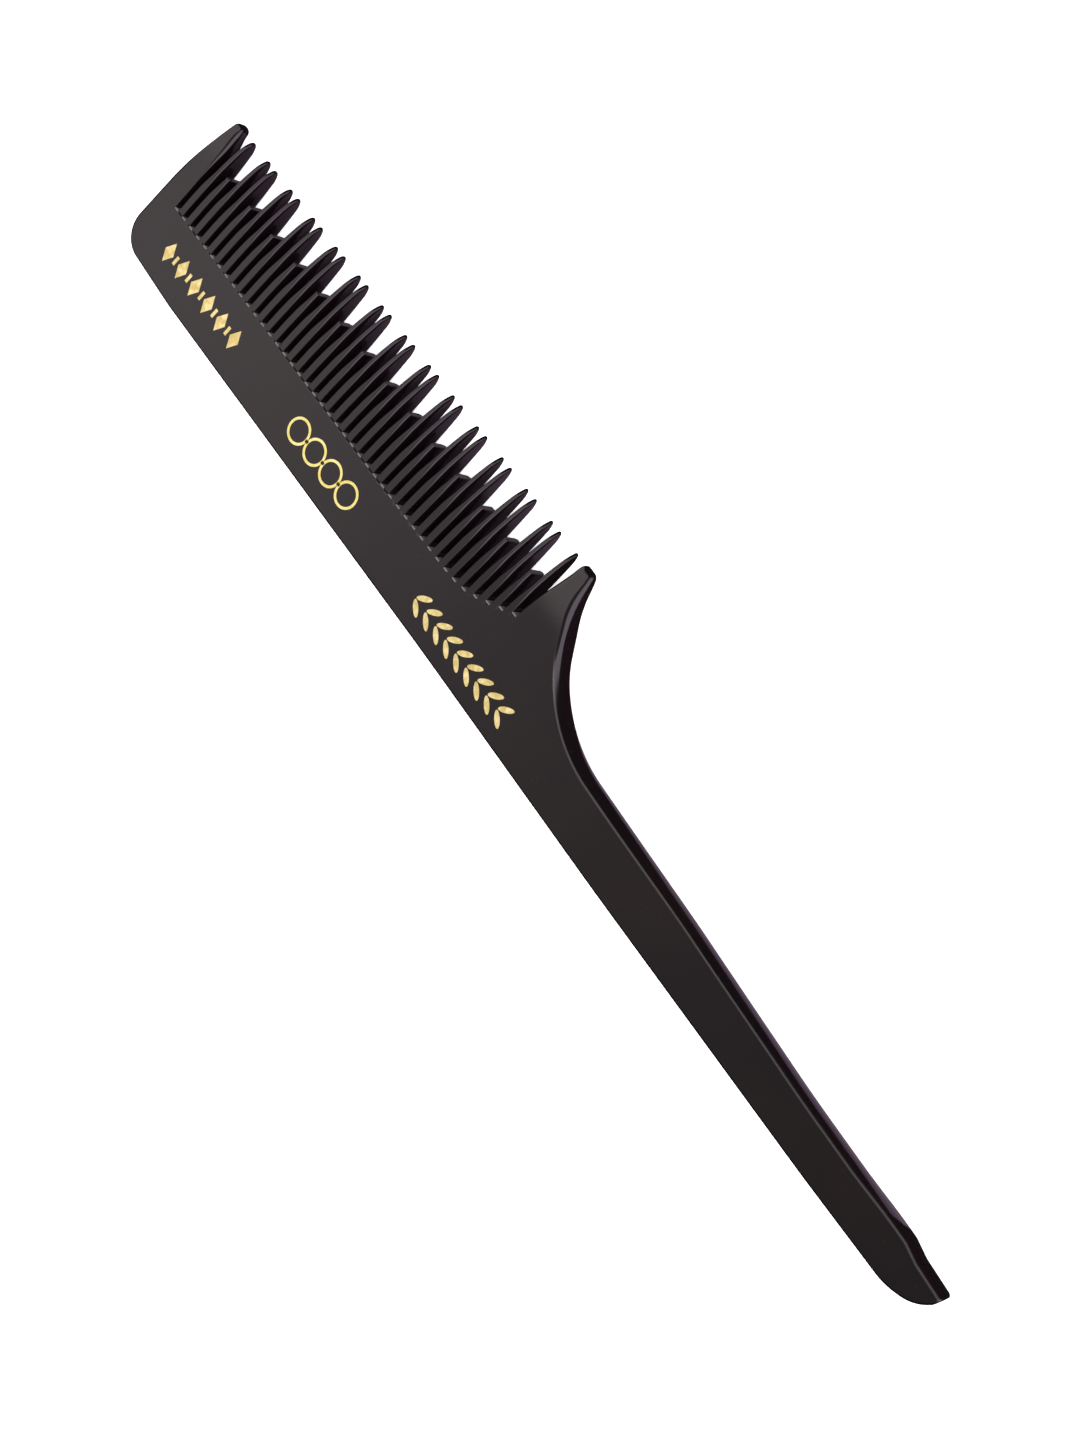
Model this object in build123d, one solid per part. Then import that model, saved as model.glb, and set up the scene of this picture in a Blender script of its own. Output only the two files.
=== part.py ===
from build123d import *
import math
import os

# A black cellulose-acetate rat tail comb, lying flat on its side.
# +X runs from the head towards the tail, +Y towards the tooth points, +Z up.
# The saw frame puts x = 0 one pitch before the first kerf, y = 0 at the bottom of the kerfs and
# z = 0 on the underside. Every piece is drawn there and moved once, by placed(), to the part's origin.

# Driving dimensions, in millimetres.
PITCH = 2.2                 # from one saw kerf to the next
KERF_WIDTH = 1.04
KERF_COUNT = 43             # 42 teeth between 43 kerfs
THICKNESS = 4.8             # of the sheet
HEAD_X = -3.13              # outermost point of the head
END_X = 211.17              # outermost point of the tail
BACK_Y = -11.57             # outer edge of the back
TIP_Y = 18.05               # outermost point of the rear guard
TAIL_START_X = 108.0        # where the back ends and the tail begins
RIM_ROUND = 0.5             # rounding of the sheet's outer rim
HEAD_ROUND = 5.1            # corner between head and back
END_ROUNDS = (12.0, 6.5, 1.5)  # corners round the tail's end, from the back

# The tail's upper edge and its sweep up into the rear guard.
SWEEP_END_X = 122.5
SWEEP_END_Y = -1.62
SWEEP_RADIUS = 25.0
SWEEP_SLOPE = -0.0365       # of the tail's edge where the sweep ends
HORN_HEADING = 71.0         # degrees below level where the sweep meets the guard's outer side

# The saw lifts beside the rear guard, so the last kerfs end higher.
CLIMB_X = 85.9              # where the climb begins
CLIMB_SLOPE = 0.54
CLIMB_SOFTNESS = 2.6        # how gently it begins

# Tooth lengths and points.
MID_REACH = 17.45           # long tooth at the middle of the row
REACH_GAIN = 0.61           # how much longer the last tooth is than the middle one
REACH_BOW = 0.16
SHORT_RATIO = 0.61          # short tooth against its long neighbours
TAPER_START_Y = 5.0         # both faces curve inwards from here to the points
TAPER_RADIUS = 53.0
POINT_START_Y = 6.0         # the sides narrow from here
POINT_LENGTH = 11.5
POINT_NARROWING = 0.24      # taken off each side at the point
POINT_LEAN = 0.4            # how far the points lean towards the tail
TIP_CAP = 0.35              # length of the rounded end of a point

# Gold foil, pressed into the upper face of the back.
FOIL_DEPTH = 0.10
FOIL_PROUD = 0.02
FRONT_FOIL_X = 6.6
FRONT_FOIL_Y = -5.55
FRONT_FOIL_STEP = 4.0
FRONT_FOIL_TALL = 3.9
MIDDLE_FOIL_X = 46.6
MIDDLE_FOIL_Y = -5.8
MIDDLE_FOIL_STEP = 4.6
MIDDLE_FOIL_R = 2.3
MIDDLE_FOIL_STROKE = 0.45
REAR_FOIL_X = 82.4
REAR_FOIL_Y = -6.55
REAR_FOIL_STEP = 2.8

MID_Z = THICKNESS / 2
MID_X = PITCH * (KERF_COUNT + 1) / 2
ROW_HALF = MID_X - PITCH * 1.5
TOOTH_HALF = (PITCH - KERF_WIDTH) / 2
FIRST_WALL_X = PITCH - KERF_WIDTH / 2
LAST_WALL_X = PITCH * KERF_COUNT + KERF_WIDTH / 2


def placed(shape):
    """Moves a shape from the saw frame to the part's origin, at the bottom centre of its box."""
    return Pos(-(HEAD_X + END_X) / 2, -(BACK_Y + TIP_Y) / 2, 0) * shape


def kerf_bottom(kerf):
    """Y of a kerf's closed end."""
    run = PITCH * kerf - CLIMB_X
    return CLIMB_SLOPE / 2 * (run + math.hypot(run, CLIMB_SOFTNESS))


def face_drop(y):
    """How far each face has curved in from the sheet's own face at this y."""
    run = max(0.0, y - TAPER_START_Y)
    return TAPER_RADIUS - math.sqrt(TAPER_RADIUS ** 2 - run ** 2)


def reach(x):
    """Y of a long tooth's point."""
    s = (x - MID_X) / ROW_HALF
    return MID_REACH + REACH_GAIN * s - REACH_BOW * s * s


def near(shape, x, y):
    """The vertices of a face that lie at one point of its plane."""
    return [v for v in shape.vertices() if math.hypot(v.X - x, v.Y - y) < 0.01]


def blank_face():
    """Plan of the sheet before it is sawn: straight across over the tooth points."""
    front_corner = (HEAD_X + 2.2, 17.1)
    head_corner = (HEAD_X + 0.053, BACK_Y + 0.83)
    head = ThreePointArc(front_corner, (HEAD_X + 0.54, 5.0), head_corner)
    back_start = (13.0, BACK_Y + 0.1)
    back_end = (186.0, BACK_Y + 0.15)
    end_corners = [(204.66, -11.08), (209.15, -9.36), (211.03, -6.75)]
    tail_corner = (END_X, -5.3)
    step_low = (205.2, -4.92)
    step_high = (202.0, -4.24)
    tail_low = (178.0, -3.87)
    tail_high = (148.6, -2.42)
    tail_heading = math.atan(-SWEEP_SLOPE)
    centre = Vector(SWEEP_END_X, SWEEP_END_Y) + SWEEP_RADIUS * Vector(
        math.sin(tail_heading), math.cos(tail_heading))

    def on_sweep(heading):
        return centre - SWEEP_RADIUS * Vector(math.sin(heading), math.cos(heading))

    horn_heading = math.radians(HORN_HEADING)
    horn_root = on_sweep(horn_heading)
    rear_corner = (98.75, TIP_Y)
    sweep = ThreePointArc((SWEEP_END_X, SWEEP_END_Y),
                          on_sweep((tail_heading + horn_heading) / 2), horn_root)
    back = ThreePointArc(back_start, (100.0, BACK_Y), back_end)
    sweep_end = (SWEEP_END_X, SWEEP_END_Y)
    edge = [back_end, *end_corners, tail_corner, step_low, step_high, tail_low, tail_high, sweep_end]
    lines = [Line(start, end) for start, end in zip(edge, edge[1:])]
    face = make_face([head, Line(head_corner, back_start), back, *lines, sweep,
                      Line(horn_root, rear_corner), Line(rear_corner, front_corner)])
    face = fillet(near(face, *front_corner), 1.0)
    face = fillet(near(face, *head_corner), HEAD_ROUND)
    face = fillet(near(face, *back_start), 60.0)
    face = fillet(near(face, *back_end), 200.0)
    for corner, radius in zip(end_corners, END_ROUNDS):
        face = fillet(near(face, *corner), radius)
    face = fillet(near(face, *step_low) + near(face, *step_high), 4.0)
    face = fillet(near(face, *tail_low) + near(face, *tail_high), 250.0)
    return fillet(near(face, *rear_corner), 1.1)


def tooth_zone():
    """Plan of everything that the saw and the files take out between the two guards."""
    above = TIP_Y + 1
    points = [(1.0, above), (1.0, 16.9), (FIRST_WALL_X, 13.0), (FIRST_WALL_X, kerf_bottom(1))]
    for tooth in range(1, KERF_COUNT):
        next_kerf_x = PITCH * (tooth + 1) - KERF_WIDTH / 2
        points.append((next_kerf_x, kerf_bottom(tooth)))
        points.append((next_kerf_x, kerf_bottom(tooth + 1)))
    points.append((LAST_WALL_X, kerf_bottom(KERF_COUNT)))
    points += [(LAST_WALL_X, 10.5), (96.2, 17.6), (96.2, above)]
    return make_face(Polyline(*points, close=True))


def taper_envelope():
    """Side view of the sheet, whose two faces curve together towards the tooth points."""
    edge_y = TIP_Y + 1
    drop = face_drop(edge_y)
    half_y = (TAPER_START_Y + edge_y) / 2
    half_drop = face_drop(half_y)
    low = BACK_Y - 1
    profile = [
        Line((low, 0), (TAPER_START_Y, 0)),
        ThreePointArc((TAPER_START_Y, 0), (half_y, half_drop), (edge_y, drop)),
        Line((edge_y, drop), (edge_y, THICKNESS - drop)),
        ThreePointArc((edge_y, THICKNESS - drop), (half_y, THICKNESS - half_drop),
                      (TAPER_START_Y, THICKNESS)),
        Line((TAPER_START_Y, THICKNESS), (low, THICKNESS)),
        Line((low, THICKNESS), (low, 0)),
    ]
    side = make_face(Wire(profile))
    side = Plane(origin=(HEAD_X - 1, 0, 0), x_dir=(0, 1, 0), z_dir=(1, 0, 0)) * side
    return extrude(side, amount=END_X - HEAD_X + 2, dir=(1, 0, 0))


def sheet(envelope):
    """The sawn sheet without its teeth: back, both guards and tail in one piece, rims rounded."""
    blank = extrude(blank_face(), amount=THICKNESS)
    rims = [edge for edge in blank.edges() if edge.bounding_box().size.Z < 0.01]
    blank = fillet(rims, RIM_ROUND) & envelope
    return blank - extrude(tooth_zone(), amount=THICKNESS)


def half_width(y):
    """Half the width of a tooth at this y."""
    run = max(0.0, y - POINT_START_Y) / POINT_LENGTH
    return TOOTH_HALF - POINT_NARROWING * run ** 1.3


def lean(y):
    """How far a tooth's middle has moved towards the tail at this y."""
    run = max(0.0, y - POINT_START_Y) / POINT_LENGTH
    return POINT_LEAN * run * run


def tooth(number, envelope):
    """One tooth, from the bottom of its kerfs to its point or, when short, to its cut end."""
    middle_x = PITCH * (number + 0.5)
    root = kerf_bottom(number)
    is_short = number % 3 == 2
    end = reach(middle_x) * (SHORT_RATIO if is_short else 1.0)
    stations = [6.5, 8.6] if is_short else [6.5, 8.6, 11.0, 14.0]
    stations.append(end if is_short else end - TIP_CAP)
    left = [(middle_x + lean(y) - half_width(y), y) for y in stations]
    right = [(middle_x + lean(y) + half_width(y), y) for y in stations]
    sides = Polyline(left[-1], *reversed(left[:-1]), (middle_x - TOOTH_HALF, root),
                     (middle_x + TOOTH_HALF, root), *right)
    tip = (middle_x + lean(end), end)
    closing = Line(right[-1], left[-1]) if is_short else ThreePointArc(right[-1], tip, left[-1])
    return (extrude(make_face([sides, closing]), amount=THICKNESS) & envelope).solid()


def box_between(low, high):
    """A box from one corner to the other."""
    size = Vector(*high) - Vector(*low)
    return Pos(*low) * Box(size.X, size.Y, size.Z, align=(Align.MIN, Align.MIN, Align.MIN))


def foil(shapes):
    """Thin raised pieces of foil, pressed a little way into the upper face."""
    return [extrude(Pos(0, 0, THICKNESS - FOIL_DEPTH) * shape, amount=FOIL_DEPTH + FOIL_PROUD)
            for shape in shapes]


def front_foil_shapes():
    """A row of upright lozenges with a small bar between each pair."""
    shapes = []
    for i in range(6):
        x = FRONT_FOIL_X + i * FRONT_FOIL_STEP
        shapes.append(Pos(x, FRONT_FOIL_Y) * Polygon((0, -FRONT_FOIL_TALL / 2), (1.15, 0),
                                                     (0, FRONT_FOIL_TALL / 2), (-1.15, 0)))
        if i < 5:
            shapes.append(Pos(x + FRONT_FOIL_STEP / 2, FRONT_FOIL_Y) * Rectangle(0.6, 1.6))
    return shapes


def middle_foil_shapes():
    """Four thin rings in a row, with a dot between each pair."""
    shapes = []
    for i in range(4):
        x = MIDDLE_FOIL_X + i * MIDDLE_FOIL_STEP
        ring = Circle(MIDDLE_FOIL_R) - Circle(MIDDLE_FOIL_R - MIDDLE_FOIL_STROKE)
        shapes.append(Pos(x, MIDDLE_FOIL_Y) * ring)
        if i < 3:
            shapes.append(Pos(x + MIDDLE_FOIL_STEP / 2, MIDDLE_FOIL_Y) * Circle(0.35))
    return shapes


def rear_foil_shapes():
    """A sprig of slanted leaves, set in pairs either side of where a stem would run."""
    shapes = []
    for i in range(9):
        x = REAR_FOIL_X + i * REAR_FOIL_STEP
        for side in (1, -1):
            leaf = Pos(x, REAR_FOIL_Y + side * 1.05) * Rot(0, 0, side * 38) * Ellipse(1.45, 0.48)
            shapes.append(leaf)
    return shapes


def write(node, shape):
    """Exports one node."""
    solids = shape if isinstance(shape, list) else [shape]
    solids = [placed(solid) for solid in solids]
    result = solids[0] if len(solids) == 1 else Compound(children=solids)
    result.label = node
    export_step(result, f"parts/{node}.step")


os.makedirs("parts", exist_ok=True)

foils = {
    "front_foil": foil(front_foil_shapes()),
    "middle_foil": foil(middle_foil_shapes()),
    "rear_foil": foil(rear_foil_shapes()),
}
side_profile = taper_envelope()
whole = sheet(side_profile)
for pieces in foils.values():
    whole = whole - pieces

zone_top = (TIP_Y + 1, THICKNESS + 1)
front_zone = box_between((HEAD_X - 1, kerf_bottom(1), -1), (FIRST_WALL_X + 1, *zone_top))
rear_zone = box_between((LAST_WALL_X - 1, kerf_bottom(KERF_COUNT), -1), (TAIL_START_X, *zone_top))
tail_zone = box_between((TAIL_START_X, BACK_Y - 1, -1), (END_X + 1, *zone_top))

write("back", (whole - front_zone - rear_zone - tail_zone).solid())
write("front_guard", (whole & front_zone).solid())
write("rear_guard", (whole & rear_zone).solid())
write("tail", (whole & tail_zone).solid())
for number in range(1, KERF_COUNT):
    write(f"tooth_{number:02d}", tooth(number, side_profile))
for name, pieces in foils.items():
    write(name, pieces)
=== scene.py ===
import math

import bpy
import numpy as np
from mathutils import Matrix, Vector
from mathutils.geometry import delaunay_2d_cdt


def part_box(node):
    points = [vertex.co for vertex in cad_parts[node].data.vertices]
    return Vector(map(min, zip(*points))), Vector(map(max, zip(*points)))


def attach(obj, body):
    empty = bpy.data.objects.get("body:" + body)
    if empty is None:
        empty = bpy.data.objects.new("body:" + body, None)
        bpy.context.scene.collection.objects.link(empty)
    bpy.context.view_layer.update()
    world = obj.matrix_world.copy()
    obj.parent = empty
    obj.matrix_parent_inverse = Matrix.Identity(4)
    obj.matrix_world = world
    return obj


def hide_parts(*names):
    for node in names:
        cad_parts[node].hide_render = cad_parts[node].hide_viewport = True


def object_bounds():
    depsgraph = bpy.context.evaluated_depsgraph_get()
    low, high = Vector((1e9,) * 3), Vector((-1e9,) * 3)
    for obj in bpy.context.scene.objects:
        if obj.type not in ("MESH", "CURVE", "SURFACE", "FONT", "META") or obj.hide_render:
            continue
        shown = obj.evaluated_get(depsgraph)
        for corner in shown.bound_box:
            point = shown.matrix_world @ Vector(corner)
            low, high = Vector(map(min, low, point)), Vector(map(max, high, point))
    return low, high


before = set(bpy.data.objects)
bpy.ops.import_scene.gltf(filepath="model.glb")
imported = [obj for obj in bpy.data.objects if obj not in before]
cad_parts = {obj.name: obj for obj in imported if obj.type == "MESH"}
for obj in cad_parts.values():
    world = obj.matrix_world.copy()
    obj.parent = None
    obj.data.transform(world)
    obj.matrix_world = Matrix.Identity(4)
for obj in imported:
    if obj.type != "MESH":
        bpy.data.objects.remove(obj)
cad_low, cad_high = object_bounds()

# Lengths below are millimetres in the saw frame: x = 0 one pitch before the first kerf,
# y = 0 at the kerf bottoms, z = 0 on the underside.
MM = 0.001
PITCH = 2.2
KERF_HALF = 0.52
KERFS = 43
THICK = 4.8
HALF_THICK = THICK / 2
HEAD_X = -3.13
END_X = 211.17
BACK_Y = -11.57
TIP_Y = 18.04
TAIL_START_X = 108.0
FRONT_WALL_X = PITCH - KERF_HALF
REAR_WALL_X = PITCH * KERFS + KERF_HALF
TOOTH_HALF = PITCH / 2 - KERF_HALF

RIM_ROUND = 0.5          # rounding of the outer rim
SHOULDER_ROUND = 0.95    # the guards' inner walls, where they are filed towards their tips
CREASE_SOFT = 0.2        # width over which the crease itself is worn round
CREASE_DULL_AND_HIGHLIGHT = 0.30       # how dull the crease is, and how pale the painted highlight along it
CREASE_LINE_HALF = 0.15         # half the width of that dulled line with its painted highlight
CHAMFER = 0.17           # worn nick at the closed end of each kerf

TAPER_START_Y = 5.0      # both faces curve inwards from here to the tooth points
TAPER_RADIUS = 53.0
CLIMB_X = 85.9           # where the kerf bottoms begin to rise beside the rear guard
CLIMB_SLOPE = 0.54
CLIMB_SOFTNESS = 2.6

MID_REACH = 17.45        # y of a long tooth's point in the middle of the row
REACH_GAIN = 0.61        # how much further the last tooth reaches than the middle one
REACH_BOW = 0.16
SHORT_RATIO = 0.61       # short tooth against its long neighbours
POINT_START_Y = 6.0      # the teeth narrow and lean from here
POINT_LENGTH = 11.5
POINT_NARROWING = 0.24   # taken off each side at the point
POINT_LEAN = 0.4         # towards the tail
FILED_Y = (4.4, 10.6)    # the teeth turn from square to ridged between these
RIDGE_HALF = 0.08        # half the flat that the file leaves along a long tooth
THIN_END = 2.2           # length over which a long tooth thins towards its point
THINNING = 0.72          # how much each face comes in there
BLUNT_END = 0.45         # length of the rounded tip itself
CUT_END = 0.10           # length of the worn rim round a short tooth's cut end

SAME_WALL = 0.86         # cosine between wall directions that are shaded as one round surface
STEEPEST = 40            # slope at which the shading of a rounded rim stops

OFFSET_X = cad_high.x / MM - END_X
OFFSET_Y = cad_low.y / MM - BACK_Y
OFFSET_Z = cad_low.z / MM

rng = np.random.RandomState(11)


# ---------------------------------------------------------------- shape functions

def smooth(low, high, value):
    """0 below low, 1 above high, smooth between."""
    t = np.clip((np.asarray(value, float) - low) / (high - low), 0, 1)
    return t * t * (3 - 2 * t)


def kerf_bottom(kerf):
    """Y of a kerf's closed end; the saw lifts beside the rear guard."""
    run = PITCH * kerf - CLIMB_X
    return CLIMB_SLOPE / 2 * (run + math.hypot(run, CLIMB_SOFTNESS))


def face_drop(y):
    """How far each face has curved in at this y."""
    run = np.maximum(0.0, np.asarray(y, float) - TAPER_START_Y)
    return TAPER_RADIUS - np.sqrt(TAPER_RADIUS ** 2 - run ** 2)


def face_slope(y):
    """Rate of face_drop."""
    run = np.maximum(0.0, np.asarray(y, float) - TAPER_START_Y)
    return run / np.sqrt(TAPER_RADIUS ** 2 - run ** 2)


def reach(x):
    """Y of a long tooth's point."""
    s = (x - PITCH * (KERFS + 1) / 2) / (PITCH * (KERFS - 2) / 2)
    return MID_REACH + REACH_GAIN * s - REACH_BOW * s * s


# ---------------------------------------------------------------- plan of the sheet

def outline_corners():
    """Corners of the sheet's outer rim, from the front guard's inner wall round to the rear guard's.

    Each is x, y, the radius that rounds it, and the kind of edge that follows it."""
    sweep_corner = (105.36, -0.994)
    return [
        (FRONT_WALL_X, kerf_bottom(1), 0, "wall"),
        (FRONT_WALL_X, 12.6, 16, "wall"),
        (0.98, TIP_Y - 0.97, 0.9, "rim"),
        (HEAD_X + 2.2, TIP_Y - 0.95, 1.0, "rim"),
        (HEAD_X + 0.54, 5.0, 70, "rim"),
        (HEAD_X + 0.053, BACK_Y + 0.83, 5.1, "rim"),
        (13.0, BACK_Y + 0.12, 60, "rim"),
        (88.0, BACK_Y + 0.38, 700, "rim"),
        (135.0, BACK_Y, 700, "rim"),
        (186.0, BACK_Y + 0.15, 200, "rim"),
        (204.66, -11.08, 12.0, "rim"),
        (209.15, -9.36, 6.5, "rim"),
        (210.75, -6.95, 1.8, "rim"),
        (END_X, -5.3, 0.08, "crease"),
        (205.2, -4.92, 4.0, "crease"),
        (202.0, -4.24, 4.0, "crease"),
        (178.0, -3.87, 250, "crease"),
        (148.6, -2.42, 250, "crease"),
        (sweep_corner[0], sweep_corner[1], 25.0, "crease"),
        (98.75, TIP_Y, 1.1, "rim"),
        (96.15, TIP_Y, 0.95, "wall"),
        (95.3, 10.5, 30, "wall"),
        (REAR_WALL_X, kerf_bottom(KERFS), 0, "kerf"),
    ]


def crease_inset(x, y):
    """How far inside the silhouette the crease above the tail's bulging wall runs."""
    tail = 1.1 - 0.2 * smooth(128, 148, x) - 0.2 * smooth(150, 180, x) - 0.3 * smooth(189, 199, x)
    return tail + 0.3 * smooth(9.0, 12.0, y) - 0.45 * smooth(13.0, 17.0, y)


def rounded(corners, step):
    """Points along the corners' path, each with its kind of edge."""
    xy = np.array([c[:2] for c in corners], float)
    points, kinds = [], []

    def run_to(target, kind):
        start = points[-1]
        pieces = max(1, int(math.ceil(np.linalg.norm(target - start) / step)))
        for i in range(1, pieces + 1):
            points.append(start + (target - start) * i / pieces)
            kinds.append(kind)

    points.append(xy[0])
    kinds.append(corners[0][3])
    for i in range(1, len(xy) - 1):
        corner, radius = xy[i], corners[i][2]
        back = (xy[i - 1] - corner) / np.linalg.norm(xy[i - 1] - corner)
        ahead = (xy[i + 1] - corner) / np.linalg.norm(xy[i + 1] - corner)
        half_angle = math.acos(np.clip(back @ ahead, -1, 1)) / 2
        cut = radius / math.tan(half_angle)
        centre = corner + (back + ahead) / np.linalg.norm(back + ahead) * radius / math.sin(half_angle)
        run_to(corner + back * cut, corners[i - 1][3])
        spoke_a = corner + back * cut - centre
        spoke_b = corner + ahead * cut - centre
        turn = math.pi - 2 * half_angle
        pieces = max(2, int(math.ceil(max(turn / math.radians(9), turn * radius / step))))
        for j in range(1, pieces + 1):
            t = j / pieces
            spoke = (math.sin((1 - t) * turn) * spoke_a + math.sin(t * turn) * spoke_b) / math.sin(turn)
            points.append(centre + spoke)
            kinds.append(corners[i - 1][3] if t < 0.5 else corners[i][3])
    run_to(xy[-1], corners[-2][3])
    return np.array(points), kinds


def sawn_edge():
    """The stepped lower end of the kerfs and tooth roots, from the rear guard back to the front."""
    points, kinds = [], []
    for kerf in range(KERFS, 0, -1):
        y = kerf_bottom(kerf)
        for i in range(1, 9):
            points.append((PITCH * kerf + KERF_HALF - 2 * KERF_HALF * i / 8, y))
            kinds.append("kerf")
        if kerf > 1:
            root = kerf_bottom(kerf - 1)
            if y - root > 1e-3:
                points.append((PITCH * kerf - KERF_HALF, root))
                kinds.append("seam")
            points.append((PITCH * (kerf - 1) + KERF_HALF, root))
            kinds.append("seam")
    return np.array(points), kinds


class Plan:
    """The sheet's outline and the shape of its edge all the way round."""

    def __init__(self):
        rim, rim_kinds = rounded(outline_corners(), 0.55)
        sawn, sawn_kinds = sawn_edge()
        self.points = np.vstack([rim, sawn[:-1]])
        ahead = np.roll(self.points, -1, axis=0)
        self.kinds = (rim_kinds + sawn_kinds)[1:] + [sawn_kinds[-1]]
        self.kinds = self.kinds[:len(self.points)]
        along = ahead - self.points
        self.length = np.linalg.norm(along, axis=1)
        self.along = along / self.length[:, None]
        self.inward = np.column_stack([-self.along[:, 1], self.along[:, 0]])
        corner = self.inward + np.roll(self.inward, 1, axis=0)
        self.corner_inward = corner / np.maximum(1e-9, np.linalg.norm(corner, axis=1))[:, None]
        creased = np.array([k == "crease" for k in self.kinds])
        seam = np.array([k == "seam" for k in self.kinds])
        self.creased_rows = np.flatnonzero(creased)
        self.plain_rows = np.flatnonzero(~creased & ~seam)
        self.is_creased = creased
        self.radius_start, self.crease_start = self.edge_shape(self.points, self.kinds)
        self.radius_end, self.crease_end = self.edge_shape(ahead, self.kinds)

    @staticmethod
    def edge_shape(points, kinds):
        """Rounding radius, or inset of the crease, and crease weight on edges of these kinds."""
        x, y = points[:, 0], points[:, 1]
        kind = np.array(kinds)
        creased = (kind == "crease") | ((x > REAR_WALL_X) & (y > 9))
        radius = np.where(creased, crease_inset(x, y), RIM_ROUND)
        wall_radius = 0.05 + (SHOULDER_ROUND - 0.05) * smooth(5.5, 14.5, y)
        wall_radius -= (SHOULDER_ROUND - RIM_ROUND) * smooth(15.2, 17.0, y)
        radius = np.where(kind == "wall", wall_radius, radius)
        nearest = np.round(x / PITCH) * PITCH
        bow = np.clip(1 - ((x - nearest) / KERF_HALF) ** 6, 0, 1)
        radius = np.where(kind == "kerf", 0.02 + CHAMFER * np.sqrt(bow), radius)
        radius = np.where(kind == "seam", 0.02, radius)
        crease = np.where(kind == "crease", 1 - smooth(3.5, 9.0, y), 0.0)
        return radius, crease

    def nearest(self, xy, rows):
        """Distance to the nearest of some edges, the direction away from it, and its shape there."""
        start, along, length = self.points[rows], self.along[rows], self.length[rows]
        out = []
        for part in np.array_split(xy, max(1, len(xy) // 1500)):
            to = part[:, None, :] - start[None]
            run = np.clip((to * along[None]).sum(2), 0, length[None])
            gap = to - run[..., None] * along[None]
            distance = np.linalg.norm(gap, axis=2)
            pick = distance.argmin(1)
            line = np.arange(len(part))
            share = run[line, pick] / length[pick]
            row = rows[pick]
            away = gap[line, pick]
            d = distance[line, pick]
            on_rim = d < 1e-4
            away[~on_rim] /= d[~on_rim][:, None]
            nearer = np.where(share > 0.5, (row + 1) % len(self.points), row)
            is_corner = (share < 1e-6) | (share > 1 - 1e-6)
            rim_normal = np.where(is_corner[:, None], self.corner_inward[nearer], self.inward[row])
            away[on_rim] = rim_normal[on_rim]
            radius = self.radius_start[row] * (1 - share) + self.radius_end[row] * share
            crease = self.crease_start[row] * (1 - share) + self.crease_end[row] * share
            chip = np.array([self.kinds[r] == "kerf" for r in row], float)
            out.append((d, away, radius, crease, chip))
        return [np.concatenate(column) for column in zip(*out)]

    def inside(self, xy):
        """Which points lie within the outline."""
        a, b = self.points, np.roll(self.points, -1, axis=0)
        found = np.zeros(len(xy), bool)
        for k in range(len(a)):
            crosses = (a[k, 1] > xy[:, 1]) != (b[k, 1] > xy[:, 1])
            if abs(b[k, 1] - a[k, 1]) < 1e-12:
                continue
            at = a[k, 0] + (xy[:, 1] - a[k, 1]) / (b[k, 1] - a[k, 1]) * (b[k, 0] - a[k, 0])
            found ^= crosses & (xy[:, 0] < at)
        return found


def strongest(plan, xy):
    """What nearest gives, for whichever of the creased and the plain edges takes more off at each point.

    The last column is how worn the surface is there: unpolished nicks at the kerf ends, plus the dulled
    line along the crease with its painted pale highlight."""
    creased = plan.nearest(xy, plan.creased_rows)
    plain = plan.nearest(xy, plan.plain_rows)
    losses = [edge_profile(d, radius, crease, d)[0] for d, _, radius, crease, _ in (creased, plain)]
    first = losses[0] >= losses[1]
    d, away, radius, crease = (np.where(first if a.ndim == 1 else first[:, None], a, b)
                               for a, b in zip(creased[:4], plain[:4]))
    raw_and_highlight = plain[4] * np.clip(2.2 * (1 - plain[0] / np.maximum(plain[2], 1e-3)), 0, 1)
    off_crease = np.abs(creased[0] - creased[2])
    # A dulled line along the crease, painted pale as a highlight.
    worn = CREASE_DULL_AND_HIGHLIGHT * creased[3] * np.clip(1 - off_crease / CREASE_LINE_HALF, 0, 1)
    return d, away, radius, crease, np.maximum(raw_and_highlight * (plain[2] > 0.05), worn)


def edge_profile(d, radius, crease, side):
    """Half thickness lost near the rim, and its slope, at distance d from it.

    side is the distance just inside the face that asks, so that a crease stays crisp."""
    run = np.clip(radius - d, 0, None)
    rounding = np.sqrt(np.maximum(radius ** 2 - run ** 2, 0))
    soft_loss = radius - rounding
    soft_slope = run / np.maximum(rounding, 0.02)
    inset = np.maximum(radius, 0.2)
    barrel = (inset ** 2 + HALF_THICK ** 2) / (2 * inset)
    back_off = np.clip(barrel - d, 0, None)
    bulge = np.sqrt(np.maximum(barrel ** 2 - back_off ** 2, 0.0004))
    within = (side < inset + 0.8 * CREASE_SOFT) & (d < inset + 0.2 * CREASE_SOFT)
    bulge_loss = np.where(d < inset, HALF_THICK - np.minimum(bulge, HALF_THICK), 0)
    bulge_slope = np.where(within, back_off / bulge, 0)
    return (soft_loss * (1 - crease) + bulge_loss * crease,
            soft_slope * (1 - crease) + bulge_slope * crease)


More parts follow.
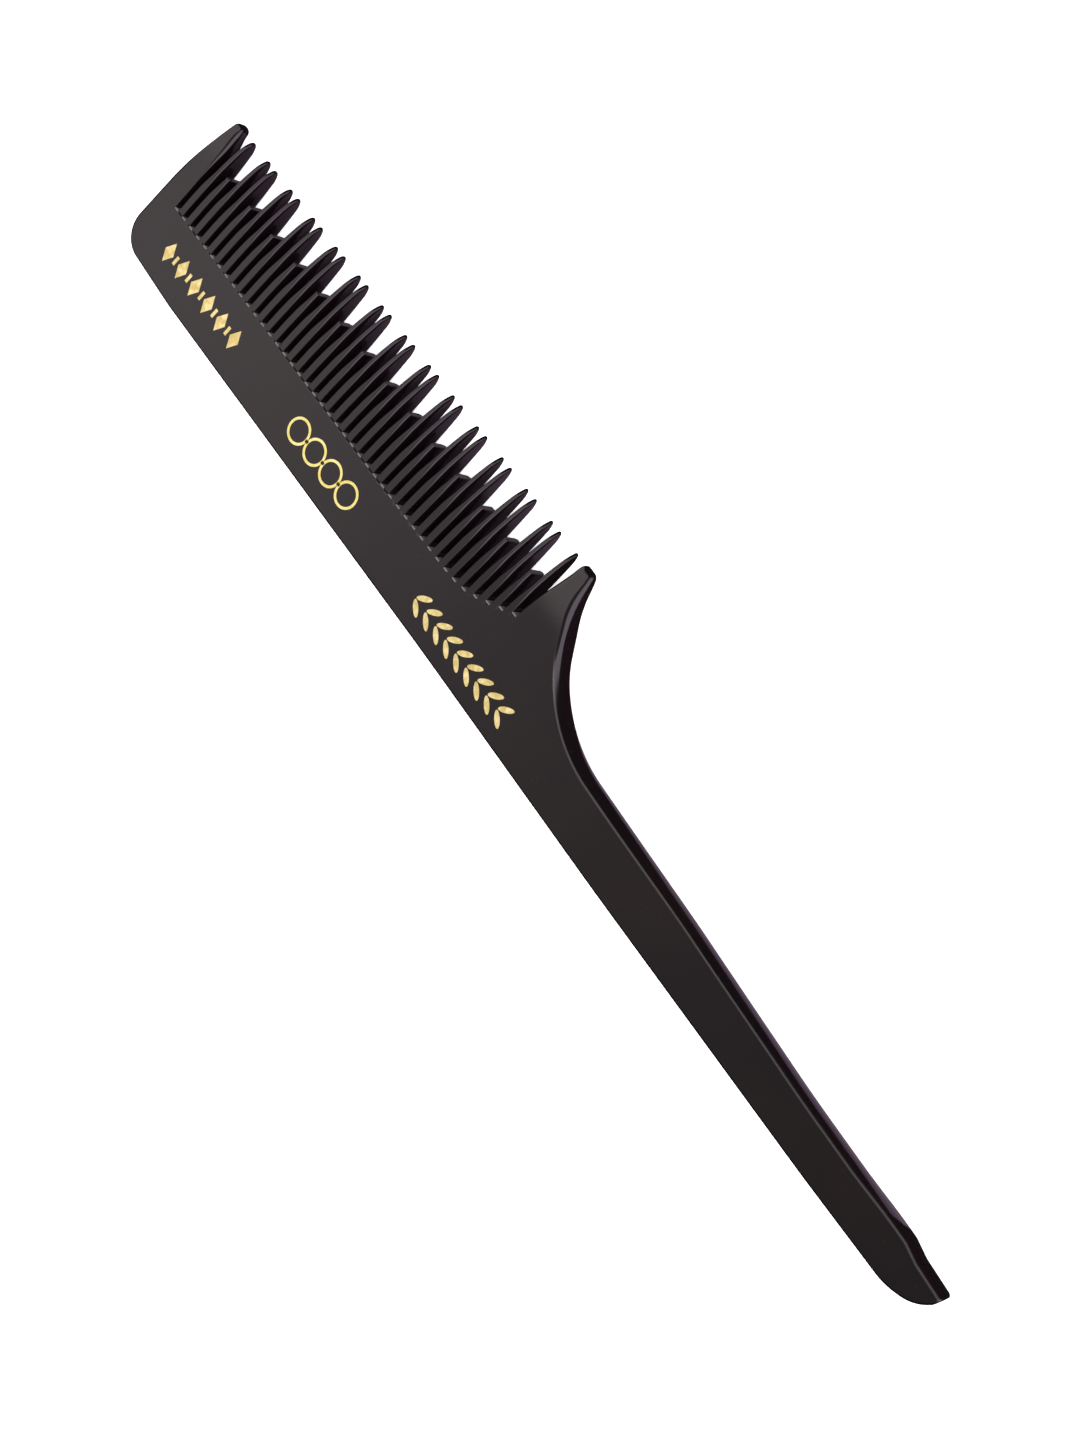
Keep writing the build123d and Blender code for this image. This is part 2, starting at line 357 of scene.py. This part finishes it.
def ring_points(plan):
    """Points on rings that follow the rim inwards, and the edges that join them."""
    points, edges = [], []
    count = len(plan.points)
    steps = [(0.07, 0), (0.16, 0), (0.3, 0), (0.46, 0), (0.64, 0), (0.82, 0), (1.0, 0), (1.0, CREASE_SOFT)]
    for share, extra in steps:
        depth = plan.radius_start * share + extra
        rings = plan.points + plan.corner_inward * depth[:, None]
        d = np.where(plan.is_creased, plan.nearest(rings, plan.creased_rows)[0],
                     plan.nearest(rings, plan.plain_rows)[0])
        keep = (d > depth * 0.985 - 0.002) & (depth > 0.02) & plan.inside(rings)
        keep &= ~np.array([k == "seam" for k in plan.kinds])
        number = np.full(count, -1)
        number[keep] = len(points) + np.arange(keep.sum())
        points.extend(rings[keep])
        for i in range(count):
            j = (i + 1) % count
            if keep[i] and keep[j] and np.linalg.norm(rings[i] - rings[j]) < 1.2:
                edges.append((number[i], number[j]))
    x, y = np.meshgrid(np.arange(HEAD_X, END_X, 1.1), np.arange(BACK_Y, TIP_Y, 1.1))
    grid = np.column_stack([x.ravel(), y.ravel()])
    grid = grid[plan.inside(grid)]
    clear = np.ones(len(grid), bool)
    for rows in (plan.creased_rows, plan.plain_rows):
        d, _, radius, _, _ = plan.nearest(grid, rows)
        clear &= d > radius + CREASE_SOFT + 0.15
    points.extend(grid[clear])
    return points, edges


def seam_lines():
    """Lines where one named region of the sheet meets the next."""
    return [
        ((HEAD_X - 3, kerf_bottom(1)), (FRONT_WALL_X, kerf_bottom(1))),
        ((REAR_WALL_X, kerf_bottom(KERFS)), (TAIL_START_X, kerf_bottom(KERFS))),
        ((TAIL_START_X, BACK_Y - 2), (TAIL_START_X, 3.0)),
    ]


def region_of(xy):
    """The name of the region that each point belongs to."""
    names = np.full(len(xy), "back", dtype=object)
    names[(xy[:, 0] < FRONT_WALL_X + 1) & (xy[:, 1] > kerf_bottom(1))] = "front_guard"
    rear = (xy[:, 0] > REAR_WALL_X - 1) & (xy[:, 1] > kerf_bottom(KERFS))
    names[rear & (xy[:, 0] < TAIL_START_X)] = "rear_guard"
    names[xy[:, 0] > TAIL_START_X] = "tail"
    return names


# ---------------------------------------------------------------- meshes

def new_piece(name, points, faces, normals, raw_and_highlight, node, material):
    """A mesh piece in the shared frame, with its own normals, standing for a CAD node."""
    mesh = bpy.data.meshes.new(name)
    placed = (np.asarray(points) + (OFFSET_X, OFFSET_Y, OFFSET_Z)) * MM
    mesh.from_pydata(placed.tolist(), [], faces)
    mesh.shade_smooth()
    mesh.normals_split_custom_set([tuple(n) for n in normals])
    # This attribute carries unpolished cut acetate and the crease's painted pale highlight.
    layer = mesh.attributes.new("raw_and_highlight", "FLOAT", "POINT")
    layer.data.foreach_set("value", np.asarray(raw_and_highlight, np.float32))
    mesh.materials.append(material)
    piece = bpy.data.objects.new(name, mesh)
    bpy.context.scene.collection.objects.link(piece)
    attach(piece, "root")
    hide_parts(node)
    return piece


def unit(vectors):
    """Vectors scaled to length one."""
    vectors = np.asarray(vectors, float)
    return vectors / np.maximum(1e-12, np.linalg.norm(vectors, axis=-1, keepdims=True))


def sheet_triangles(plan):
    """The sheet's plan as triangles: their corners, and the corner numbers of each."""
    ring, ring_edges = ring_points(plan)
    count = len(plan.points)
    points = [tuple(p) for p in plan.points] + [tuple(p) for p in ring]
    edges = [(i, (i + 1) % count) for i in range(count)]
    edges += [(int(a) + count, int(b) + count) for a, b in ring_edges]
    for a, b in seam_lines():
        edges.append((len(points), len(points) + 1))
        points += [a, b]
    made = delaunay_2d_cdt([Vector(p) for p in points], edges, [], 0, 1e-5)
    xy = np.array([tuple(v) for v in made[0]])
    triangles = np.array([tuple(f) for f in made[2]])
    triangles = triangles[plan.inside(xy[triangles].mean(axis=1))]
    a, b, c = (xy[triangles[:, k]] for k in range(3))
    area = (b[:, 0] - a[:, 0]) * (c[:, 1] - a[:, 1]) - (b[:, 1] - a[:, 1]) * (c[:, 0] - a[:, 0])
    triangles[area < 0] = triangles[area < 0][:, ::-1]
    return xy, triangles


def wall_faces(here, triangles):
    """Upright faces round the border of some triangles, and the normals of their corners."""
    sides = [(f[i], f[(i + 1) % 3]) for f in triangles for i in range(3)]
    known = set(sides)
    wall = [side for side in sides if (side[1], side[0]) not in known]
    outward, starts, ends = {}, {}, {}
    for p, q in wall:
        step = here[q] - here[p]
        outward[(p, q)] = unit([step[1], -step[0], 0])
        starts.setdefault(p, []).append((p, q))
        ends.setdefault(q, []).append((p, q))
    size = len(here)
    faces, normals = [], []
    for p, q in wall:
        own = outward[(p, q)]
        faces.append((p + size, q + size, q, p))
        at_p = [outward[e] for e in ends.get(p, []) if outward[e] @ own > SAME_WALL]
        at_q = [outward[e] for e in starts.get(q, []) if outward[e] @ own > SAME_WALL]
        normal_p = unit(own + sum(at_p))
        normal_q = unit(own + sum(at_q))
        normals += [tuple(normal_p), tuple(normal_q), tuple(normal_q), tuple(normal_p)]
    return faces, normals


def sheet_pieces(plan, material):
    """Back, guards and tail, cut from one surface so that they match where they meet."""
    xy, triangles = sheet_triangles(plan)
    centres = xy[triangles].mean(axis=1)
    d, away, radius, crease, raw_and_highlight = strongest(plan, xy)
    face_d = plan.nearest(centres, plan.creased_rows)[0]
    loss, _ = edge_profile(d, radius, crease, d)
    half = np.maximum(HALF_THICK - face_drop(xy[:, 1]) - loss, 0.02)

    def top_normals(corners, side):
        """Normals at the corners of top faces, from the shape of the surface itself."""
        _, slope = edge_profile(d[corners], radius[corners], crease[corners], side)
        gradient = away[corners] * np.minimum(slope, STEEPEST)[:, None]
        gradient[:, 1] -= face_slope(xy[corners, 1])
        return unit(np.column_stack([-gradient, np.ones(len(corners))]))

    names = region_of(centres)
    for name in ("back", "front_guard", "rear_guard", "tail"):
        mine = triangles[names == name]
        side = np.repeat(face_d[names == name], 3)
        used, packed = np.unique(mine, return_inverse=True)
        packed = packed.reshape(mine.shape)
        here = xy[used]
        size = len(used)
        top = np.column_stack([here, HALF_THICK + half[used]])
        low = np.column_stack([here, HALF_THICK - half[used]])
        up = top_normals(mine.ravel(), side)
        down = top_normals(mine[:, ::-1].ravel(), side) * (1, 1, -1)
        walls, wall_normals = wall_faces(here, packed)
        faces = [tuple(f) for f in packed] + [tuple(f[::-1] + size) for f in packed] + walls
        normals = np.vstack([up, down]).tolist() + wall_normals
        new_piece(f"{name}_shell", np.vstack([top, low]), faces, normals,
                  np.concatenate([raw_and_highlight[used], raw_and_highlight[used]]), name, material)


def tooth_section(middle, y, half_wide, half_high, shoulder, shoulder_z):
    """One ring of a tooth: points and normals in the x, z plane, round from the top."""
    points, normals = [], []
    for sx, sz, first in ((1, 1, 90), (1, -1, 0), (-1, -1, -90), (-1, 1, -180)):
        for k in range(7):
            angle = math.radians(first - 15 * k)
            cos, sin = math.cos(angle), math.sin(angle)
            points.append((middle + sx * (half_wide - shoulder) + cos * shoulder, y,
                           HALF_THICK + sz * (half_high - shoulder_z) + sin * shoulder_z))
            normals.append(unit([cos / shoulder, 0, sin / shoulder_z]))
    return points, normals


def half_width(y):
    """Half the width of a tooth at this y."""
    return TOOTH_HALF - POINT_NARROWING * (max(0.0, y - POINT_START_Y) / POINT_LENGTH) ** 1.3


def lean_at(y, lean_end):
    """How far a tooth leans towards the tail at this y."""
    return lean_end * (max(0.0, y - POINT_START_Y) / POINT_LENGTH) ** 2


def tooth_rings(number):
    """Rings from a tooth's root to its point or cut end."""
    middle = PITCH * (number + 0.5)
    root = kerf_bottom(number)
    short = number % 3 == 2
    end = reach(middle) * (SHORT_RATIO if short else 1.0) - rng.uniform(0, 0.12)
    lean_end = POINT_LEAN + rng.uniform(-0.05, 0.02)
    cap = CUT_END if short else THIN_END
    square = POINT_START_Y - root
    stations = [root, root + 0.25 * square, root + 0.6 * square, POINT_START_Y]
    while stations[-1] < end - cap - 0.65:
        stations.append(stations[-1] + 0.5)
    stations.append(end - cap)
    caps = [0.35, 0.75, 1.0] if short else [0.15, 0.3, 0.45, 0.6, 0.72, 0.82, 0.9, 0.95, 0.985, 1.0]
    rings = [[y, half_width(y), HALF_THICK - float(face_drop(y)), lean_at(y, lean_end)]
             for y in stations]
    for share in caps:
        y = end - cap + cap * share
        wide, high = half_width(y), HALF_THICK - float(face_drop(y))
        if short:
            close = 1 - math.sqrt(max(0.0, 1 - share * share))
            wide -= 0.06 * close
            high -= 0.10 * close
        else:
            blunt = max(0.0, (y - end + BLUNT_END) / BLUNT_END)
            high -= THINNING * share * share
            high *= 0.25 + 0.75 * math.sqrt(max(0.0, 1 - blunt ** 2))
            wide *= 0.06 + 0.94 * math.sqrt(max(0.0, 1 - blunt ** 2))
        rings.append([y, wide, high, lean_at(y, lean_end)])
    return middle, short, rings


def tooth_piece(number, material):
    """One tooth: a square root that is filed into a round ridge and a blunt point."""
    middle, short, rings = tooth_rings(number)
    points, normals, raw_and_highlight = [], [], []
    fullness = rng.uniform(-0.25, 0.25)
    for index, (y, wide, high, lean) in enumerate(rings):
        filed = float(smooth(FILED_Y[0] + fullness, FILED_Y[1] + fullness, y))
        ridge = min(RIDGE_HALF, wide * 0.3)
        shoulder = min(wide - ridge, 0.05 + (wide - 0.05) * filed)
        shoulder_z = min(high - 0.004, shoulder * (1.0 + 0.9 * filed))
        ring, ring_normals = tooth_section(middle + lean, y, wide, high, shoulder, shoulder_z)
        last = short and index >= len(rings) - 3
        if last:
            burr = rng.normal(0, 0.035, (len(ring), 3)) * (1, 1.3, 1)
            ring = [tuple(np.array(p) + (b if index == len(rings) - 1 else b * 0.5))
                    for p, b in zip(ring, burr)]
        points += ring
        normals += ring_normals
        raw_and_highlight += [0.12 if last else 0.0] * len(ring)
    points, normals = np.array(points), np.array(normals)
    around = 28
    count = len(rings)
    grid = points.reshape(count, around, 3)
    flat = normals.reshape(count, around, 3)
    slope = np.gradient(grid, axis=0)
    slope = slope / np.maximum(1e-9, np.abs(slope[..., 1:2]))
    flat[..., 1] = -(flat[..., 0] * slope[..., 0] + flat[..., 2] * slope[..., 2])
    flat = unit(flat)
    faces, face_normals = [], []
    for i in range(count - 1):
        for j in range(around):
            k = (j + 1) % around
            corners = ((i, j), (i, k), (i + 1, k), (i + 1, j))
            faces.append(tuple(a * around + b for a, b in corners))
            face_normals += [tuple(flat[a, b]) for a, b in corners]
    for ring_at, turn, ahead in ((0, -1, -1.0), (count - 1, 1, 1.0)):
        faces.append(tuple(ring_at * around + b for b in range(around))[::turn])
        face_normals += [(0.0, ahead, 0.0)] * around
    node = f"tooth_{number:02d}"
    return new_piece(f"{node}_filed", points, faces, face_normals, raw_and_highlight, node, material)


# ---------------------------------------------------------------- materials

class Nodes:
    """Short calls for building a node tree."""

    def __init__(self, tree):
        self.tree = tree
        tree.nodes.clear()

    def add(self, kind, inputs=None, **settings):
        """A node with its settings, its input values, and links for inputs that are sockets."""
        node = self.tree.nodes.new(kind)
        for key, value in settings.items():
            setattr(node, key, value)
        for key, value in (inputs or {}).items():
            socket = node.inputs[key]
            if isinstance(value, bpy.types.NodeSocket):
                self.tree.links.new(value, socket)
            else:
                socket.default_value = value
        return node

    def math(self, operation, a, b=0.0, clamp=False):
        """The result of one math operation."""
        return self.add("ShaderNodeMath", {0: a, 1: b}, operation=operation, use_clamp=clamp).outputs[0]

    def span(self, value, low, high, to_low=0.0, to_high=1.0):
        """value mapped smoothly from one range to another."""
        node = self.add("ShaderNodeMapRange",
                        {"Value": value, "From Min": low, "From Max": high,
                         "To Min": to_low, "To Max": to_high}, interpolation_type="SMOOTHSTEP")
        return node.outputs["Result"]

    def noise(self, where, scale, detail=3.0, roughness=0.5):
        """Noise between about 0 and 1."""
        return self.add("ShaderNodeTexNoise",
                        {"Vector": where, "Scale": scale, "Detail": detail,
                         "Roughness": roughness}).outputs["Fac"]

    def mix(self, share, a, b):
        """A colour between a and b."""
        node = self.add("ShaderNodeMix", {0: share}, data_type="RGBA")
        for socket, value in ((node.inputs[6], a), (node.inputs[7], b)):
            if isinstance(value, bpy.types.NodeSocket):
                self.tree.links.new(value, socket)
            else:
                socket.default_value = (*value, 1)
        return node.outputs[2]

    def stretched(self, where, scale):
        """A place scaled along its axes."""
        return self.add("ShaderNodeMapping", {"Vector": where, "Scale": scale}).outputs[0]


def acetate_material():
    """Black cellulose acetate, hand polished: faint waves, fine rubbing marks, specks, pale unpolished
    nicks, a painted plum reflection on the walls and a painted pale highlight along the tail's crease.
    """
    material = bpy.data.materials.new("acetate_black")
    material.use_nodes = True
    n = Nodes(material.node_tree)
    where = n.add("ShaderNodeTexCoord").outputs["Object"]
    facing = n.add("ShaderNodeSeparateXYZ",
                   {0: n.add("ShaderNodeNewGeometry").outputs["Normal"]}).outputs["Z"]
    raw_and_highlight = n.add("ShaderNodeAttribute", attribute_name="raw_and_highlight").outputs["Fac"]
    # side picks out the steep walls, for the painted plum reflection below.
    side = n.span(n.math("ABSOLUTE", facing), 0.75, 0.15)
    cloud = n.span(n.noise(where, 38.0, 4.0, 0.6), 0.5, 0.72)
    speck = n.span(n.noise(where, 2600.0, 1.0), 0.77, 0.83)
    colour = n.mix(cloud, (0.0034, 0.0027, 0.0030), (0.0052, 0.0036, 0.0030))
    # Painted plum reflection on the walls, stronger the steeper they are.
    colour = n.mix(n.math("MULTIPLY", side, 0.8), colour, (0.0052, 0.0022, 0.0034))
    colour = n.mix(n.math("MULTIPLY", speck, 0.5), colour, (0.030, 0.027, 0.026))
    # Pale grey at unpolished kerf nicks and short teeth's cut ends, and a painted pale highlight along the
    # tail's crease.
    colour = n.mix(raw_and_highlight, colour, (0.20, 0.19, 0.185))
    rubbed = n.noise(n.stretched(where, (1.0, 7.0, 1.0)), 420.0, 3.0, 0.6)
    haze = n.noise(where, 75.0, 3.0)
    rough = n.math("ADD", n.math("MULTIPLY", rubbed, 0.03), n.math("MULTIPLY", haze, 0.10))
    rough = n.math("ADD", rough, 0.085)
    rough = n.math("ADD", rough, n.math("MULTIPLY", raw_and_highlight, 0.45), clamp=True)
    swell = n.noise(where, 55.0, 1.5)
    wave = n.add("ShaderNodeBump", {"Height": swell, "Strength": 0.22, "Distance": 0.0005})
    grain = n.add("ShaderNodeBump", {"Height": n.noise(where, 1500.0, 2.0), "Strength": 0.05,
                                     "Distance": 0.00006, "Normal": wave.outputs[0]})
    shader = n.add("ShaderNodeBsdfPrincipled",
                   {"Base Color": colour, "Roughness": rough, "IOR": 1.49,
                    "Normal": grain.outputs[0]})
    n.add("ShaderNodeOutputMaterial", {"Surface": shader.outputs[0]})
    return material


def foil_material(name, warm, bright):
    """Hot-stamped foil: metal with a fine leathery grain, uneven colour and a few rubbed spots."""
    material = bpy.data.materials.new(name)
    material.use_nodes = True
    n = Nodes(material.node_tree)
    where = n.add("ShaderNodeTexCoord").outputs["Object"]
    patch = n.span(n.noise(where, 900.0, 3.0, 0.6), 0.35, 0.7)
    worn = n.span(n.noise(where, 3200.0, 2.0), 0.66, 0.76)
    colour = n.mix(patch, warm, bright)
    colour = n.mix(n.math("MULTIPLY", worn, 0.55), colour, (0.32, 0.19, 0.06))
    rough = n.span(n.noise(where, 1500.0, 3.0), 0.3, 0.75, 0.36, 0.58)
    dimple = n.add("ShaderNodeBump", {"Height": n.noise(where, 2400.0, 3.0, 0.6),
                                      "Strength": 0.5, "Distance": 0.00004})
    shader = n.add("ShaderNodeBsdfPrincipled",
                   {"Base Color": colour, "Metallic": 0.75, "Roughness": rough,
                    "Normal": dimple.outputs[0]})
    n.add("ShaderNodeOutputMaterial", {"Surface": shader.outputs[0]})
    return material


# ---------------------------------------------------------------- stage

def studio_world():
    """A dark studio with one broad overhead softbox, brighter to the head side, and a strip beside it."""
    world = bpy.data.worlds.new("studio")
    world.use_nodes = True
    bpy.context.scene.world = world
    n = Nodes(world.node_tree)
    place = n.add("ShaderNodeSeparateXYZ", {0: n.add("ShaderNodeTexCoord").outputs["Generated"]})
    x, y, z = place.outputs
    across = n.math("MULTIPLY", n.math("ADD", x, 1.0), 0.5)
    ramp = n.add("ShaderNodeValToRGB", {0: across})
    stops = [(-0.72, 0.02), (-0.61, 1.36), (-0.50, 1.36), (-0.42, 1.0), (-0.35, 0.63), (-0.25, 0.40),
             (-0.08, 0.27), (0.26, 0.21), (0.36, 0.03)]
    elements = ramp.color_ramp.elements
    elements.remove(elements[0])
    elements[0].position = 1.0
    elements[0].color = (0.03, 0.03, 0.03, 1)
    for at, level in stops:
        elements.new((at + 1) / 2).color = (level, level, level, 1)
    overhead = n.math("MULTIPLY", n.span(y, -0.30, -0.08), n.span(x, -0.18, -0.30, 0.0, 1.7))
    level = n.math("MAXIMUM", ramp.outputs[0], overhead)
    band = n.math("MULTIPLY", n.span(y, -0.80, -0.56), n.span(y, 0.50, 0.34))
    level = n.math("MULTIPLY", n.math("MULTIPLY", level, band), n.span(z, 0.02, 0.22))
    strip = n.math("MULTIPLY", n.span(x, 0.34, 0.44), n.span(z, 0.02, 0.10))
    strip = n.math("MULTIPLY", strip, n.math("MULTIPLY", n.span(y, -0.55, -0.40), n.span(y, 0.84, 0.72)))
    level = n.math("ADD", n.math("ADD", level, n.math("MULTIPLY", strip, 2.6)), 0.02)
    colour = n.mix(strip, (1.0, 0.88, 0.885), (0.98, 0.86, 1.0))
    seen = n.add("ShaderNodeLightPath").outputs["Is Camera Ray"]
    studio = n.add("ShaderNodeBackground", {"Color": colour, "Strength": level})
    paper = n.add("ShaderNodeBackground", {"Color": (1, 1, 1, 1), "Strength": 0.97})
    both = n.add("ShaderNodeMixShader", {0: seen, 1: studio.outputs[0], 2: paper.outputs[0]})
    n.add("ShaderNodeOutputWorld", {"Surface": both.outputs[0]})


def fill_light(name, place, size, power):
    """A big soft lamp that lights the floor but doesn't show in the gloss."""
    data = bpy.data.lights.new(name, "AREA")
    data.shape = "DISK"
    data.size = size
    data.energy = power
    lamp = bpy.data.objects.new(name, data)
    lamp.location = place
    lamp.rotation_euler = (Vector((0, 0, 0)) - Vector(place)).to_track_quat("-Z", "Y").to_euler()
    lamp.visible_glossy = False
    bpy.context.scene.collection.objects.link(lamp)


def floor():
    """A plain sheet of white paper under the comb."""
    mesh = bpy.data.meshes.new("floor")
    half = 4.0
    z = cad_low.z - 0.00002
    mesh.from_pydata([(-half, -half, z), (half, -half, z), (half, half, z), (-half, half, z)],
                     [], [(0, 1, 2, 3)])
    material = bpy.data.materials.new("floor_paper")
    material.use_nodes = True
    n = Nodes(material.node_tree)
    shader = n.add("ShaderNodeBsdfPrincipled",
                   {"Base Color": (0.9, 0.9, 0.9, 1), "Roughness": 0.9, "Specular IOR Level": 0.0,
                    "Emission Color": (1, 1, 1, 1), "Emission Strength": 0.78})
    n.add("ShaderNodeOutputMaterial", {"Surface": shader.outputs[0]})
    mesh.materials.append(material)
    plane = bpy.data.objects.new("floor", mesh)
    plane.visible_glossy = False
    bpy.context.scene.collection.objects.link(plane)


def reflector_card():
    """A small grey card, seen only in the gloss: under the teeth, and just outside the tail's edge."""
    z = cad_low.z - 0.00001
    low_x, high_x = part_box("tooth_01")[0].x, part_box("tooth_42")[1].x
    root_y, point_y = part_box("tooth_01")[0].y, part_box("tooth_42")[1].y
    tail_low, tail_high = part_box("tail")
    outer_y = OFFSET_Y * MM - 1.2 * MM
    outline = [(low_x, root_y), (tail_low.x + 22 * MM, root_y - 6 * MM),
               (tail_high.x - 7 * MM, root_y - 8 * MM), (tail_high.x - 14 * MM, outer_y),
               (tail_low.x + 34 * MM, outer_y + 2.2 * MM), (tail_low.x + 10 * MM, root_y),
               (high_x, root_y), (high_x, point_y - 1 * MM), (low_x, point_y - 1 * MM)]
    mesh = bpy.data.meshes.new("reflector_card")
    mesh.from_pydata([(x, y, z) for x, y in outline], [], [tuple(range(len(outline)))])
    material = bpy.data.materials.new("card")
    material.use_nodes = True
    n = Nodes(material.node_tree)
    shader = n.add("ShaderNodeBsdfPrincipled",
                   {"Base Color": (0.40, 0.31, 0.41, 1), "Roughness": 0.9, "Specular IOR Level": 0.0})
    n.add("ShaderNodeOutputMaterial", {"Surface": shader.outputs[0]})
    mesh.materials.append(material)
    card = bpy.data.objects.new("reflector_card", mesh)
    card.visible_camera = False
    card.visible_diffuse = False
    card.visible_shadow = False
    bpy.context.scene.collection.objects.link(card)


def camera():
    """A portrait-format camera above the tail end, looking down the comb."""
    place = (np.array([229.34, 129.92, 331.22]) + (OFFSET_X, OFFSET_Y, OFFSET_Z)) * MM
    forward = Vector((-0.32183, -0.35489, -0.87777)).normalized()
    right = Vector((0.56277, 0.67384, -0.47878))
    right = (right - forward * right.dot(forward)).normalized()
    up = right.cross(forward)
    data = bpy.data.cameras.new("camera")
    data.lens = 62.34
    data.sensor_width = 36.0
    data.clip_start = 0.01
    data.clip_end = 20.0
    cam = bpy.data.objects.new("camera", data)
    axes = Matrix((right, up, -forward)).transposed()
    cam.matrix_world = Matrix.Translation(Vector(place)) @ axes.to_4x4()
    bpy.context.scene.collection.objects.link(cam)
    bpy.context.scene.camera = cam


acetate = acetate_material()
gold = foil_material("foil_gold", (0.72, 0.60, 0.21), (0.96, 0.86, 0.42))
pale = foil_material("foil_pale", (0.88, 0.79, 0.22), (1.0, 0.94, 0.40))
sheet_pieces(Plan(), acetate)
for tooth_number in range(1, KERFS):
    tooth_piece(tooth_number, acetate)
for foil_node, foil in (("front_foil", gold), ("middle_foil", pale), ("rear_foil", gold)):
    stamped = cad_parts[foil_node]
    stamped.data.materials.clear()
    stamped.data.materials.append(foil)

studio_world()
floor()
reflector_card()
fill_light("fill_over", (0.1, 0.3, 1.3), 2.4, 16.0)
fill_light("fill_left", (-1.2, -0.2, 0.9), 1.6, 5.0)
fill_light("fill_right", (1.2, 0.1, 0.9), 1.6, 5.0)
camera()
bpy.context.scene.view_settings.view_transform = "Standard"
